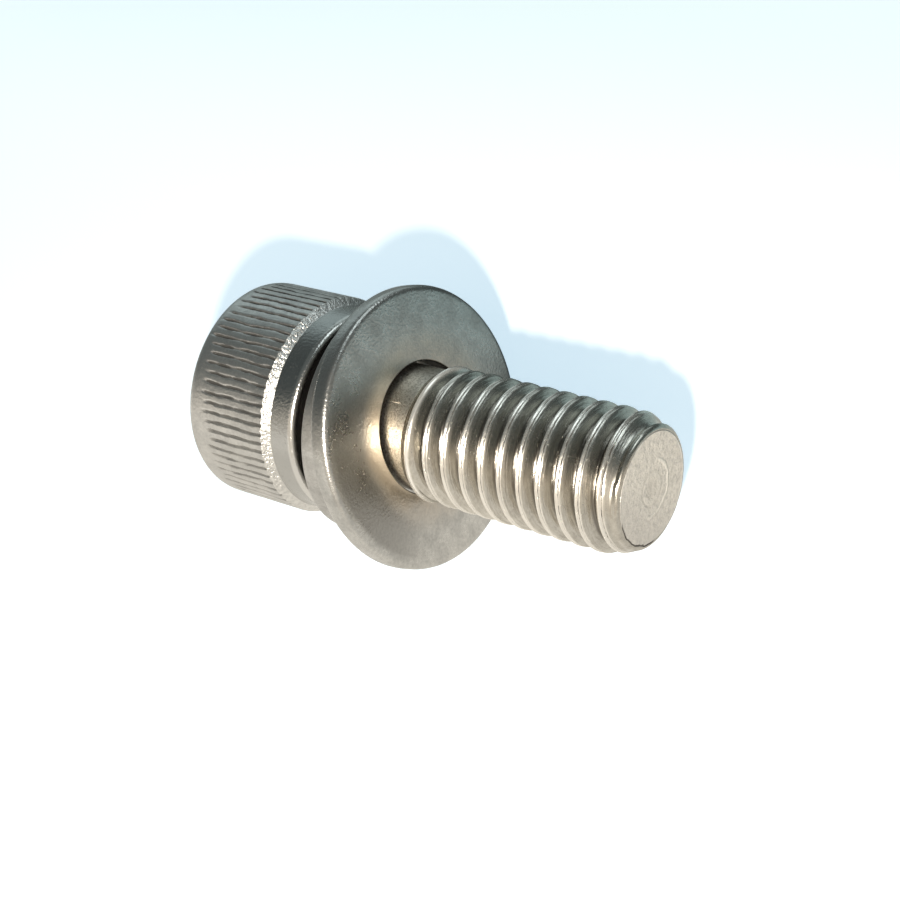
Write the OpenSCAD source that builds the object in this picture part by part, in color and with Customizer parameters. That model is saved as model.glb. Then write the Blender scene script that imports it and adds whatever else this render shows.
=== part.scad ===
// Hex socket cap screw with a captive spring lock washer and a captive flat washer, in millimetres.
// The screw stands on its head: the socket face lies on z = 0 and the threaded tip points up.
// Both washers are loose on the neck. They were put on before the thread was rolled, so the thread
// keeps them on, and they lean as they lie in use.

/* [Screw head] */
// Head diameter over the knurl
head_d = 13; // [12.4:0.1:14.5]
// Head height
head_h = 8; // [7:0.1:9.5]
// Rounding of the rim round the socket face
rim_round = 1; // [0.6:0.1:1.2]
// Number of knurl grooves
knurl_n = 72; // [40:1:80]
// Depth of a knurl groove
knurl_depth = 0.16; // [0.1:0.02:0.3]
// Share of the knurl pitch that a groove takes
knurl_share = 0.45; // [0.3:0.05:0.7]
// Height of the plain band under the knurl
band_h = 1.58; // [1.2:0.02:2]
// How far the plain band lies inside the knurl
band_step = 0.43; // [0.35:0.01:0.6]
// Height of the chamfer between the knurl and the plain band
band_chamfer = 0.38; // [0.2:0.02:0.6]
// Taper of the plain band over its height
band_taper = 0.12; // [0:0.02:0.2]
// Chamfer at the edge of the bearing face
bearing_chamfer = 0.4; // [0.1:0.05:0.5]

/* [Hex socket] */
// Width across the flats of the socket
socket_af = 6; // [5:0.5:6.5]
// Depth of the socket's flats
socket_depth = 4.5; // [3.5:0.1:5]
// Height of the cone at the socket's floor
socket_cone = 0.8; // [0.3:0.1:1.2]
// Width of the countersink beyond the socket's corners
socket_lead = 0.12; // [0.05:0.01:0.3]

/* [Neck and thread] */
// Neck diameter
neck_d = 7.16; // [6.6:0.02:7.3]
// Fillet between the neck and the head
neck_fillet = 0.3; // [0.1:0.05:0.4]
// Room left on the neck between the washers and the thread
neck_play = 0.15; // [0.1:0.05:1]
// Height of the cone where the neck widens to the thread
shoulder_h = 0.55; // [0.2:0.05:0.8]
// Length from the bearing face to the tip
shank_l = 20; // [16:1:40]
// Outer diameter of the thread
thread_d = 7.94; // [7.8:0.02:8]
// Thread pitch
thread_pitch = 1.25; // [1:0.05:1.5]
// Thread depth as a share of the pitch
thread_depth_share = 0.57; // [0.4:0.01:0.6]
// Crest width as a share of the pitch
crest_share = 0.13; // [0.08:0.01:0.2]
// Turns over which the thread grows to full depth
run_in = 0.6; // [0.3:0.1:1.5]
// Angle at which the thread starts
start_angle = 259; // [0:1:359]
// How far the flat tip lies inside the thread root
tip_inset = 0.05; // [0.04:0.01:0.4]
// Length of the tip chamfer
tip_chamfer = 1.2; // [0.8:0.05:2]

/* [Spring lock washer] */
// Outer diameter
spring_d = 13.4; // [12:0.1:14]
// Thickness
spring_t = 1.25; // [1:0.05:2.2]
// Play of the bore on the neck
spring_play = 0.44; // [0.3:0.02:0.6]
// Height between the two ends at the split
spring_rise = 0.55; // [0.2:0.05:1.6]
// Width of the split
spring_gap = 1.1; // [0.4:0.1:3]
// Slant of the split over the thickness, in degrees round the ring
spring_slant = 7; // [0:1:12]
// Edge chamfer
spring_edge = 0.15; // [0.05:0.01:0.3]
// Lean of the ring
spring_lean = 4; // [0:0.1:5]
// Direction of the lean and of the split
spring_turn = 120; // [0:1:359]
// Gap to the head's bearing face at the low end
seat_gap = 0.03; // [0.02:0.01:0.3]

/* [Flat washer] */
// Outer diameter
flat_d = 16.3; // [14:0.02:18]
// Thickness
flat_t = 1.2; // [0.8:0.05:1.8]
// Play of the bore on the neck
flat_play = 0.04; // [0.02:0.01:0.2]
// Rounding of the outer edges
flat_round = 0.35; // [0.1:0.05:0.38]
// Rounding of the bore's edges
flat_bore_round = 0.1; // [0.1:0.05:0.35]
// Lean of the washer
flat_lean = 12.6; // [0:0.1:13]
// Direction of the lean
flat_turn = 218.8; // [0:0.1:359.9]
// Gap to the spring washer where the two come closest
stack_gap = 0.04; // [0.02:0.01:0.3]

/* [Hidden] */
$fn = 72;

steel = [0.66, 0.67, 0.66];
spring_steel = [0.58, 0.59, 0.58];
washer_steel = [0.63, 0.63, 0.61];

head_r = head_d / 2;
band_r = head_r - band_step;
bearing_r = band_r - band_taper;
knurl_end = head_h - band_h - band_chamfer;
rim_steps = 4;

knurl_pitch = 2 * 180 / knurl_n;
knurl_half = knurl_pitch * knurl_share / 2;
knurl_over = knurl_depth;

socket_r = socket_af / 2 / cos(30);
socket_lead_r = socket_r + socket_lead;
overshoot = 1;

neck_r = neck_d / 2;
thread_r = thread_d / 2;
thread_depth = thread_pitch * thread_depth_share;
root_r = thread_r - thread_depth;
tip_r = root_r - tip_inset;
tip_z = head_h + shank_l;
tip_slope = (thread_r - tip_r) / tip_chamfer;
shoulder_inset = 0.07;
shoulder_lap = 0.05;

spring_r = spring_d / 2;
spring_bore_r = (neck_d + spring_t * sin(spring_lean)) / cos(spring_lean) / 2 + spring_play / 2;
spring_z = head_h + seat_gap + spring_rise / 2 + spring_r * tan(spring_lean);
spring_steps = 60;
spring_split = spring_gap / spring_r * 180 / PI;

flat_r = flat_d / 2;
flat_bore_r = (neck_d + flat_t * sin(flat_lean)) / cos(flat_lean) / 2 + flat_play / 2;
flat_half_z = flat_t / 2 / cos(flat_lean);
round_steps = 3;

// Height of the spring washer's upper face at its rim, at an angle round the screw
function spring_top(az) =
    let (turned = (az - spring_turn + 720) % 360)
    spring_z
    + spring_t / cos(spring_lean)
    - spring_r * tan(spring_lean) * cos(az - spring_turn)
    + spring_rise * (0.5 - turned / 360);

// The flat washer sits as low as the spring washer lets it at this lean
flat_low = max([for (az = [0:2:358]) spring_top(az) + spring_r * tan(flat_lean) * cos(az - flat_turn)]);
flat_z = flat_low + flat_half_z + stack_gap;

// The neck ends above the highest point of the flat washer's bore
flat_high = flat_z + flat_t / 2 * cos(flat_lean) + (flat_bore_r + flat_bore_round) * sin(flat_lean);
neck_end = flat_high + neck_play;
thread_z = neck_end + shoulder_h - shoulder_lap;

// One turn of the thread: place along the pitch, and depth from crest 0 to root 1
flank_share = thread_depth * tan(30) / thread_pitch;
form_at = [-crest_share / 2, crest_share / 2, crest_share / 2 + flank_share, 1 - crest_share / 2 - flank_share];
form_depth = [0, 0, 1, 1];
form_n = len(form_at);
thread_steps = 48;
thread_rows = form_n * (ceil((tip_z - thread_z) / thread_pitch) + 3);

// Corner of the rounded rim, from the socket face to the knurl
function rim_arc() = [
    for (i = [1:rim_steps])
        let (a = 90 * i / rim_steps)
        [head_r - rim_round + rim_round * sin(a), rim_round - rim_round * cos(a)]
];

// Half section of the head, the neck and the shoulder
function screw_section() = concat(
    [[0, 0], [head_r - rim_round, 0]],
    rim_arc(),
    [
        [head_r, knurl_end],
        [band_r, knurl_end + band_chamfer],
        [bearing_r, head_h - bearing_chamfer],
        [bearing_r - bearing_chamfer, head_h],
        [neck_r + neck_fillet, head_h],
        [neck_r, head_h + neck_fillet],
        [neck_r, neck_end],
        [thread_r - shoulder_inset, neck_end + shoulder_h],
        [0, neck_end + shoulder_h]
    ]
);

// Sides of one knurl groove, seen along the screw
module knurl_groove() {
    polygon([
        [head_r - knurl_depth, 0],
        [(head_r + knurl_over) * cos(2 * knurl_half), (head_r + knurl_over) * sin(2 * knurl_half)],
        [(head_r + knurl_over) * cos(2 * knurl_half), -(head_r + knurl_over) * sin(2 * knurl_half)]
    ]);
}

module knurl() {
    translate([0, 0, -overshoot])
        linear_extrude(knurl_end + band_chamfer + overshoot)
            for (i = [0:knurl_n - 1])
                rotate(i * knurl_pitch)
                    knurl_groove();
}

module hex_socket() {
    translate([0, 0, -overshoot])
        cylinder(r = socket_r, h = socket_depth + overshoot, $fn = 6);
    translate([0, 0, socket_depth])
        cylinder(r1 = socket_af / 2 * cos(30), r2 = 0, h = socket_cone);
    cylinder(r1 = socket_lead_r, r2 = 0, h = socket_lead_r * tan(30));
}

// Height along the helix of point k on the thread form at step j round the screw
function thread_rise(k, j) =
    thread_z
    + thread_pitch * (floor(k / form_n) + form_at[k % form_n] + j / thread_steps - 1 - start_angle / 360);

function thread_radius(k, rise) =
    let (grown = min(max((rise - thread_z) / (thread_pitch * run_in), 0), 1))
    let (chamfer_r = tip_r + max(tip_z - rise, 0) * tip_slope)
    min(thread_r - thread_depth * grown * form_depth[k % form_n], chamfer_r);

function thread_point(k, j) =
    let (rise = thread_rise(k, j))
    let (r = thread_radius(k, rise))
    let (a = 360 * j / thread_steps)
    [r * cos(a), r * sin(a), min(max(rise, thread_z), tip_z)];

function thread_index(k, j) = j < thread_steps ? k * thread_steps + j : (k + form_n) * thread_steps;

function distinct(pts, t) = pts[t[0]] != pts[t[1]] && pts[t[1]] != pts[t[2]] && pts[t[0]] != pts[t[2]];

// Right-hand thread with a growing start and a chamfered tip
module thread() {
    pts = [
        for (k = [0:thread_rows + form_n])
            for (j = [0:thread_steps - 1])
                thread_point(k, j)
    ];
    sides = [
        for (k = [0:thread_rows - 1])
            for (j = [0:thread_steps - 1])
                let (a = thread_index(k, j))
                let (b = thread_index(k, j + 1))
                let (c = thread_index(k + 1, j + 1))
                let (d = thread_index(k + 1, j))
                for (t = [[a, d, c], [a, c, b]])
                    if (distinct(pts, t)) t
    ];
    start_face = [for (j = [0:thread_steps - 1]) thread_index(0, j)];
    tip_face = [for (j = [thread_steps - 1:-1:0]) thread_index(thread_rows, j)];
    polyhedron(points = pts, faces = concat(sides, [start_face, tip_face]), convexity = 8);
}

// Forged screw with a knurled head, a plain neck and a rolled thread
module cap_screw() {
    color(steel) {
        difference() {
            rotate_extrude() polygon(screw_section());
            knurl();
            hex_socket();
        }
        thread();
    }
}

// Section of the spring washer, from the lower inner edge and round by the rim
function spring_section() = [
    [spring_bore_r + spring_edge, 0],
    [spring_r - spring_edge, 0],
    [spring_r, spring_edge],
    [spring_r, spring_t - spring_edge],
    [spring_r - spring_edge, spring_t],
    [spring_bore_r + spring_edge, spring_t],
    [spring_bore_r, spring_t - spring_edge],
    [spring_bore_r, spring_edge]
];

// Left-hand coil of not quite one turn
module spring_coil() {
    section = spring_section();
    n = len(section);
    pts = [
        for (i = [0:spring_steps])
            for (p = section)
                let (turned = spring_split / 2 + (360 - spring_split) * i / spring_steps)
                let (a = spring_turn + turned + spring_slant * (p[1] / spring_t - 0.5))
                [p[0] * cos(a), p[0] * sin(a), p[1] + spring_rise * (0.5 - i / spring_steps)]
    ];
    sides = [
        for (i = [0:spring_steps - 1])
            for (k = [0:n - 1])
                let (a = i * n + k)
                let (b = i * n + (k + 1) % n)
                for (t = [[a, b, b + n], [a, b + n, a + n]]) t
    ];
    high_end = [for (k = [n - 1:-1:0]) k];
    low_end = [for (k = [0:n - 1]) spring_steps * n + k];
    polyhedron(points = pts, faces = concat(sides, [high_end, low_end]), convexity = 6);
}

// Split spring lock washer, leaning on the head
module spring_washer() {
    color(spring_steel)
        translate([0, 0, spring_z])
            rotate(spring_turn)
                rotate([0, spring_lean, 0])
                    rotate(-spring_turn)
                        spring_coil();
}

// Quarter round of a washer's corner, about its centre
function corner(centre, r, from) = [
    for (i = [0:round_steps])
        let (a = from + 90 * i / round_steps)
        [centre[0] + r * cos(a), centre[1] + r * sin(a)]
];

function flat_section() =
    let (outer = flat_r - flat_round)
    let (inner = flat_bore_r + flat_bore_round)
    let (rim_z = flat_t / 2 - flat_round)
    let (bore_z = flat_t / 2 - flat_bore_round)
    concat(
        corner([outer, -rim_z], flat_round, 270),
        corner([outer, rim_z], flat_round, 0),
        corner([inner, bore_z], flat_bore_round, 90),
        corner([inner, -bore_z], flat_bore_round, 180)
    );

// Stamped flat washer, leaning on the spring washer
module flat_washer() {
    color(washer_steel)
        translate([0, 0, flat_z])
            rotate([0, flat_lean, flat_turn])
                rotate_extrude() polygon(flat_section());
}

cap_screw();
spring_washer();
flat_washer();
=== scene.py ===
# %% [markdown]
# # A socket cap screw with two loose washers
# The part comes in from CAD as three nodes: the forged screw, a split spring washer and a flat washer.
# This lesson dresses each of them with a finer mesh and a worn steel finish, and lights them as a small
# product picture. The CAD nodes stay where they are, and every finer piece takes the place of one node.

import math

import bmesh
import bpy
from mathutils import Matrix, Vector


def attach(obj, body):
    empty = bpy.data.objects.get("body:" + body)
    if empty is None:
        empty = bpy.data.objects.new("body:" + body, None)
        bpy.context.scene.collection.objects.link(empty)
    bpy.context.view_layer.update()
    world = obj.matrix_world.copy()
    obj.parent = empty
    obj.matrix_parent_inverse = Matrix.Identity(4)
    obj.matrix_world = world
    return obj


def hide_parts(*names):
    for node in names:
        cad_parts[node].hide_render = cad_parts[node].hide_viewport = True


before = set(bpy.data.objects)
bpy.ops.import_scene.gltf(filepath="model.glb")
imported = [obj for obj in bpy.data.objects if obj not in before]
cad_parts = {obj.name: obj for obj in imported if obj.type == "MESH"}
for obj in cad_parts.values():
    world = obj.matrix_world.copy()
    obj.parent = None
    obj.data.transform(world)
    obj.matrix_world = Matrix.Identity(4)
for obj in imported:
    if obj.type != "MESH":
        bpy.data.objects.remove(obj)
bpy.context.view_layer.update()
scene = bpy.context.scene
MM = 0.001

# %% [markdown]
# ## Camera
# The screw's own frame stands it on its head, but in the picture it lies on a white surface with its tip
# towards us. Turning the camera instead of the screw gives the same picture and leaves the part alone.
# The place, the three directions and the lens were solved from the round edges of the head, the washer
# and the tip, which show as ellipses.

# %% Camera
SENSOR = 36.0
LENS = 71.23
EYE = Vector((0.0, -82.77, 72.31)) * MM
EYE_RIGHT = Vector((-0.2545, 0.5528, 0.7935)).normalized()
EYE_BACK = Vector((-0.0079, -0.8217, 0.5699)).normalized()
EYE_UP = EYE_BACK.cross(EYE_RIGHT).normalized()

camera_data = bpy.data.cameras.new("picture_camera")
camera_data.sensor_width = SENSOR
camera_data.lens = LENS
camera_data.clip_start = 0.002
camera_data.clip_end = 5.0
camera = bpy.data.objects.new("picture_camera", camera_data)
turn = Matrix((EYE_RIGHT, EYE_UP, EYE_BACK)).transposed().to_4x4()
camera.matrix_world = Matrix.Translation(EYE) @ turn
scene.collection.objects.link(camera)
scene.camera = camera
print("camera lens", LENS, "distance", round(EYE.length / MM, 1), "mm")

# %% [markdown]
# ## Arithmetic with nodes
# Shapes and finishes below follow formulas. A node tree writes a formula as many small Math nodes, which is
# slow to read. This helper lets a value in a tree be added and multiplied like a number in Python,
# and lays down the Math nodes by itself. It serves geometry trees and shader trees alike.


# %% Wires that calculate
class Wire:
    """A number that flows through a node tree."""

    def __init__(self, tree, socket):
        self.tree = tree
        self.socket = socket

    def into(self, socket, value):
        if isinstance(value, Wire):
            self.tree.links.new(value.socket, socket)
        else:
            socket.default_value = value

    def op(self, operation, *values):
        node = self.tree.nodes.new("ShaderNodeMath")
        node.operation = operation
        for socket, value in zip(node.inputs, (self, *values)):
            self.into(socket, value)
        return Wire(self.tree, node.outputs[0])

    def __add__(self, other):
        return self.op("ADD", other)

    def __sub__(self, other):
        return self.op("SUBTRACT", other)

    def __rsub__(self, other):
        return self.op("MULTIPLY_ADD", -1.0, other)

    def __mul__(self, other):
        return self.op("MULTIPLY", other)

    def __truediv__(self, other):
        return self.op("DIVIDE", other)

    __radd__ = __add__
    __rmul__ = __mul__

    def low(self, other):
        return self.op("MINIMUM", other)

    def high(self, other):
        return self.op("MAXIMUM", other)

    def clamp(self):
        return self.high(0.0).low(1.0)

    def fade(self, start, end):
        """0 before start, 1 after end, and a smooth rise between."""
        node = self.tree.nodes.new("ShaderNodeMapRange")
        node.interpolation_type = "SMOOTHSTEP"
        self.into(node.inputs[0], self)
        self.into(node.inputs[1], start)
        self.into(node.inputs[2], end)
        return Wire(self.tree, node.outputs[0])

    def band(self, start, full, fall, end):
        """0 outside start and end, 1 from full to fall."""
        return self.fade(start, full) * (1.0 - self.fade(fall, end))


def split(tree, vector):
    """The three numbers of a vector."""
    node = tree.nodes.new("ShaderNodeSeparateXYZ")
    tree.links.new(vector, node.inputs[0])
    return [Wire(tree, out) for out in node.outputs]


def bundle(tree, x, y, z):
    """A vector from three numbers."""
    node = tree.nodes.new("ShaderNodeCombineXYZ")
    for socket, value in zip(node.inputs, (x, y, z)):
        x.into(socket, value)
    return node.outputs[0]


def scaled(tree, vector, factor):
    """A vector times a number."""
    node = tree.nodes.new("ShaderNodeVectorMath")
    node.operation = "SCALE"
    tree.links.new(vector, node.inputs[0])
    node.inputs["Scale"].default_value = factor
    return node.outputs[0]


def noise(tree, vector, scale, detail=3.0, rough=0.5):
    """Soft cloudy noise of about 0 to 1 over a position."""
    node = tree.nodes.new("ShaderNodeTexNoise")
    tree.links.new(vector, node.inputs["Vector"])
    node.inputs["Scale"].default_value = scale
    node.inputs["Detail"].default_value = detail
    node.inputs["Roughness"].default_value = rough
    return Wire(tree, node.outputs[0])


# A Mix node keeps sockets for every kind of value. These are the ones for colours.
MIX_FIRST, MIX_SECOND, MIX_RESULT = 6, 7, 2


def mix_colours(tree, factor, first, second):
    """Goes from the first colour to the second as the factor goes from 0 to 1."""
    node = tree.nodes.new("ShaderNodeMix")
    node.data_type = "RGBA"
    tree.links.new(factor.socket, node.inputs["Factor"])
    for socket, value in ((node.inputs[MIX_FIRST], first), (node.inputs[MIX_SECOND], second)):
        if isinstance(value, tuple):
            socket.default_value = (*value, 1.0)
        else:
            tree.links.new(value, socket)
    return node.outputs[MIX_RESULT]


# %% [markdown]
# ## Grain of worn steel
# All three pieces are plain steel with no paint. Up close such steel has cloudy patches, fine grain from
# pickling, and small dark pits. More than one finish uses them, so they are one shader group with three
# outputs, and each finish mixes them in its own way. Object coordinates in millimetres keep
# the grain fixed to the piece from every side.


# %% Steel grain group
def steel_grain_group():
    group = bpy.data.node_groups.new("steel_grain", "ShaderNodeTree")
    for name, start in (("Grain size", 0.1), ("Patch size", 2.0), ("Pit size", 0.3)):
        socket = group.interface.new_socket(name=name, in_out="INPUT", socket_type="NodeSocketFloat")
        socket.default_value = start
    for name in ("Patches", "Grain", "Pits"):
        group.interface.new_socket(name=name, in_out="OUTPUT", socket_type="NodeSocketFloat")
    inputs = group.nodes.new("NodeGroupInput")
    outputs = group.nodes.new("NodeGroupOutput")
    place = group.nodes.new("ShaderNodeTexCoord").outputs["Object"]
    place = scaled(group, place, 1.0 / MM)

    def noise_of(name, detail, rough):
        node = group.nodes.new("ShaderNodeTexNoise")
        group.links.new(place, node.inputs["Vector"])
        node.inputs["Detail"].default_value = detail
        node.inputs["Roughness"].default_value = rough
        size = Wire(group, inputs.outputs[name])
        group.links.new(size.op("POWER", -1.0).socket, node.inputs["Scale"])
        return Wire(group, node.outputs[0])

    patches = noise_of("Patch size", 4.0, 0.55).fade(0.3, 0.7)
    grain = noise_of("Grain size", 2.0, 0.6).fade(0.25, 0.75)
    pits = noise_of("Pit size", 5.0, 0.7).fade(0.62, 0.74)
    for wire, name in ((patches, "Patches"), (grain, "Grain"), (pits, "Pits")):
        group.links.new(wire.socket, outputs.inputs[name])
    return group


STEEL_GRAIN = steel_grain_group()
print("shader group:", STEEL_GRAIN.name)

# %% [markdown]
# ## Steel finishes
# A finish is a Principled shader with full metal, whose colour and roughness move a little with the grain.
# The forged head and the stamped washer are satin. The neck and the thread were pressed by rolling dies,
# so they are much shinier. Bright edges, dark roots, marks, and painted highlights and shade are masks by
# place, worked out with the same wires, so they stay on the metal from every side.


# %% A finish from grain
PATCH_SHARE = 0.55


class Finish:
    """A steel material that can take masks before it is closed."""

    def __init__(self, name, light, dark, shiny, dull, sizes, grain_height):
        self.material = bpy.data.materials.new(name)
        self.material.use_nodes = True
        self.tree = self.material.node_tree
        self.shader = self.tree.nodes["Principled BSDF"]
        grain = self.tree.nodes.new("ShaderNodeGroup")
        grain.node_tree = STEEL_GRAIN
        for socket, size in zip(grain.inputs, sizes):
            socket.default_value = size
        self.patches, self.grain, self.pits = [Wire(self.tree, out) for out in grain.outputs]
        place = self.tree.nodes.new("ShaderNodeTexCoord").outputs["Object"]
        self.place = scaled(self.tree, place, 1.0 / MM)
        self.x, self.y, self.z = split(self.tree, self.place)
        self.radius = (self.x * self.x + self.y * self.y).op("SQRT")
        tone = self.patches * PATCH_SHARE + self.grain * (1.0 - PATCH_SHARE)
        self.colour = mix_colours(self.tree, tone, dark, light)
        self.rough = tone * (shiny - dull) + dull
        self.height = self.grain * grain_height
        self.matt_mask = tone * 0.0

    def cloud(self, scale, detail, rough):
        """Cloudy noise over the place on the piece."""
        return noise(self.tree, self.place, scale, detail, rough)

    def ring_radius(self, height, lean, direction):
        """Distance in millimetres from the axis of a ring that leans on the screw."""
        tilt, side = math.radians(lean), math.radians(direction)
        rise = self.z - height
        axial = self.x * (math.sin(tilt) * math.cos(side)) + self.y * (math.sin(tilt) * math.sin(side))
        axial = axial + rise * math.cos(tilt)
        return (self.x * self.x + self.y * self.y + rise * rise - axial * axial).high(0.0).op("SQRT")

    def towards(self, degrees):
        """Cosine of the angle between a place and a direction round the screw's axis."""
        aim = math.radians(degrees)
        return (self.x * math.cos(aim) + self.y * math.sin(aim)) / self.radius.high(0.01)

    def paint(self, mask, colour, share=1.0):
        """A share of a colour laid over the steel where the mask is 1."""
        self.colour = mix_colours(self.tree, mask * share, self.colour, colour)

    def polish(self, mask, rough):
        """Roughness changed where the mask is 1."""
        self.rough = self.rough + mask * (rough - self.rough)

    def matt(self, mask):
        """Rough cut or worn metal, which scatters light like paper, where the mask is 1."""
        self.matt_mask = self.matt_mask.high(mask)

    def emboss(self, height):
        """Relief in millimetres."""
        self.height = self.height + height

    def close(self):
        self.tree.links.new(self.colour, self.shader.inputs["Base Color"])
        self.tree.links.new(self.rough.clamp().socket, self.shader.inputs["Roughness"])
        self.tree.links.new((1.0 - self.matt_mask).socket, self.shader.inputs["Metallic"])
        node = self.tree.nodes.new("ShaderNodeBump")
        node.inputs["Strength"].default_value = 1.0
        node.inputs["Distance"].default_value = MM
        self.tree.links.new(self.height.socket, node.inputs["Height"])
        self.tree.links.new(node.outputs[0], self.shader.inputs["Normal"])
        print("finish:", self.material.name)
        return self.material


# %% [markdown]
# ### Sizes shared by the screw's pieces
# These repeat the sizes of the CAD screw, in millimetres, so the finer mesh lies on the same surfaces.

# %% Screw sizes
HEAD_R = 6.5
HEAD_H = 8.0
RIM_ROUND = 1.0
KNURL_END = 6.04
BAND_TOP = 6.42
BAND_R = 6.07
BEARING_R = 5.95
NECK_R = 3.58
NECK_END = 14.01
SHOULDER_TOP = 14.51
THREAD_R = 3.97
PITCH = 1.25
THREAD_DEPTH = 0.7125
THREAD_START = 259 / 360
TIP_R = 3.17
TIP_Z = 28.0
TIP_CHAMFER = 1.5
SOCKET_AF = 6.0
SOCKET_DEPTH = 4.5
SOCKET_CONE = 0.8
SOCKET_LEAD = 0.12
KNURL_GROOVES = 72

# %% [markdown]
# ### Finish of the forged head
# The head is satin grey with cloudy patches. The chamfer under the knurl and the edge of the bearing face
# were turned, so they are brighter rings, and the plain band between them is darker. Painted shade darkens
# the knurl's grooves, less of it on the side that is low in the camera's view, and that side is painted a
# darker grey as shade. Painted shade also darkens the bearing face under the head. The masks are written
# from the head's sizes. A painted texture could show the same, but it would need an unwrapped mesh.

# %% Head finish
TURNED_BAND = (0.36, 0.37, 0.36)
LOW_SIDE_SHADE = (0.52, 0.51, 0.485)
GROOVE_SHADE = (0.1, 0.098, 0.094)
TURNED_RING = (0.78, 0.77, 0.74)
TURNED_EDGE = (0.74, 0.73, 0.7)
BEARING_SHADE = (0.05, 0.047, 0.042)
HEAD_PIT = (0.2, 0.195, 0.19)
LOW_SIDE_AIM = -15

head_steel = Finish(
    "forged_head_steel",
    light=(0.76, 0.755, 0.73),
    dark=(0.5, 0.505, 0.5),
    shiny=0.34,
    dull=0.46,
    sizes=(0.16, 1.1, 0.3),
    grain_height=0.008,
)
head_z, head_radius = head_steel.z, head_steel.radius
outer = head_radius.fade(BEARING_R - 0.45, BEARING_R - 0.35)
band = head_z.fade(BAND_TOP, BAND_TOP + 0.08) * outer
head_steel.polish(band, rough=0.24)
head_steel.paint(band, TURNED_BAND, share=0.75)

# Painted shade darkens the knurl's grooves.
groove_shade = head_radius.band(HEAD_R - 0.3, HEAD_R - 0.25, HEAD_R - 0.06, HEAD_R - 0.002)
groove_shade = groove_shade * head_z.band(RIM_ROUND - 0.2, RIM_ROUND, KNURL_END - 0.14, KNURL_END - 0.04)
# Painted shade: the side low in the camera's view is painted a darker grey, with less painted shade in its
# grooves.
low_side_shade = head_steel.towards(LOW_SIDE_AIM).fade(0.3, 0.9)
head_steel.paint(low_side_shade, LOW_SIDE_SHADE, share=0.45)
head_steel.paint(groove_shade * (0.8 - low_side_shade * 0.45), GROOVE_SHADE)
head_steel.polish(groove_shade, rough=0.85)

ring = head_z.band(KNURL_END - 0.06, KNURL_END + 0.02, BAND_TOP - 0.02, BAND_TOP + 0.06)
ring = ring * head_radius.fade(BEARING_R - 0.05, BEARING_R + 0.05)
beads = head_steel.cloud(4.5, 2.0, 0.6).fade(0.35, 0.62)
head_steel.paint(ring * (0.3 + beads * 0.6), TURNED_RING)
head_steel.polish(ring, rough=0.36)
edge = head_z.fade(HEAD_H - 0.4, HEAD_H - 0.25) * outer
head_steel.paint(edge, TURNED_EDGE, share=0.8)
head_steel.polish(edge, rough=0.22)
inner = 1.0 - head_radius.fade(BEARING_R - 0.45, BEARING_R - 0.25)
# Painted shade darkens the bearing face under the head, in the gap above the washers.
head_steel.paint(head_z.fade(HEAD_H - 0.07, HEAD_H - 0.02) * inner, BEARING_SHADE, share=0.9)
head_steel.paint(head_steel.pits, HEAD_PIT, share=0.35)
head_steel.emboss(ring * beads * 0.03 - head_steel.pits * 0.01)
HEAD_STEEL = head_steel.close()

# %% [markdown]
# ### Finish of the rolled shank: thread
# Rolling presses the thread bright. The metal flows up between the dies from both sides, so a crest carries
# two lobes, each with a line that is worn bright and painted as a highlight as well, with dirt and painted
# shade along the broken seam between them, and fine streaks run along the helix. These marks
# need a coordinate that follows the helix: how far a place lies beside the middle of its crest, in turns.
# The roots keep a thin dark film with painted shade, and a painted highlight lies on the collar where the
# thread starts.

# %% Shank finish: thread
STREAK = (0.76, 0.73, 0.67)
THIN_LINE = (0.2, 0.18, 0.15)
CREST_WEAR_AND_SHEEN = (0.92, 0.89, 0.83)
SEAM_DIRT_AND_SHADE = (0.1, 0.085, 0.07)
ROOT_FILM_AND_SHADE = (0.13, 0.115, 0.095)
COLLAR_HIGHLIGHT = (0.95, 0.93, 0.88)
SHANK_PIT = (0.22, 0.2, 0.18)
FILM_DEEP, FILM_EDGE = 3.3, 3.46

shank_steel = Finish(
    "rolled_shank_steel",
    light=(0.66, 0.63, 0.565),
    dark=(0.46, 0.435, 0.385),
    shiny=0.19,
    dull=0.29,
    sizes=(0.2, 0.9, 0.24),
    grain_height=0.0015,
)
shank_z, shank_radius = shank_steel.z, shank_steel.radius
around = shank_steel.y.op("ARCTAN2", shank_steel.x) / math.tau
climb = (shank_z - SHOULDER_TOP) / PITCH - around + THREAD_START
ragged = shank_steel.cloud(2.2, 5.0, 0.65)
beside = climb - (climb + 0.5).op("FLOOR") + (ragged - 0.5) * 0.08
on_thread = shank_z.band(SHOULDER_TOP + 0.29, SHOULDER_TOP + 0.69, TIP_Z - 0.7, TIP_Z - 0.4)


def drawn_out(across, along):
    """A place for noise that is narrow across the thread and long along it."""
    x, y = shank_steel.x * along, shank_steel.y * along
    return bundle(shank_steel.tree, beside * across, x, y + shank_z)


streaks = noise(shank_steel.tree, drawn_out(16.0, 0.5), 1.0, 3.0, 0.6).fade(0.3, 0.7)
thin_lines = noise(shank_steel.tree, drawn_out(44.0, 0.8), 1.0, 4.0, 0.7).fade(0.54, 0.66)
shank_steel.paint(streaks * on_thread, STREAK, share=0.5)
shank_steel.paint(thin_lines * on_thread, THIN_LINE, share=0.4)

# The two crest lines are worn bright and painted as highlights as well.
first_sheen_line = beside.band(-0.16, -0.1, 0.01, 0.03)
second_sheen_line = beside.band(0.05, 0.07, 0.1, 0.15)
worn = (first_sheen_line + second_sheen_line * 0.9) * on_thread
shank_steel.paint(worn * (0.6 + streaks * 0.35), CREST_WEAR_AND_SHEEN)
shank_steel.matt(worn * 0.08)
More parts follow.
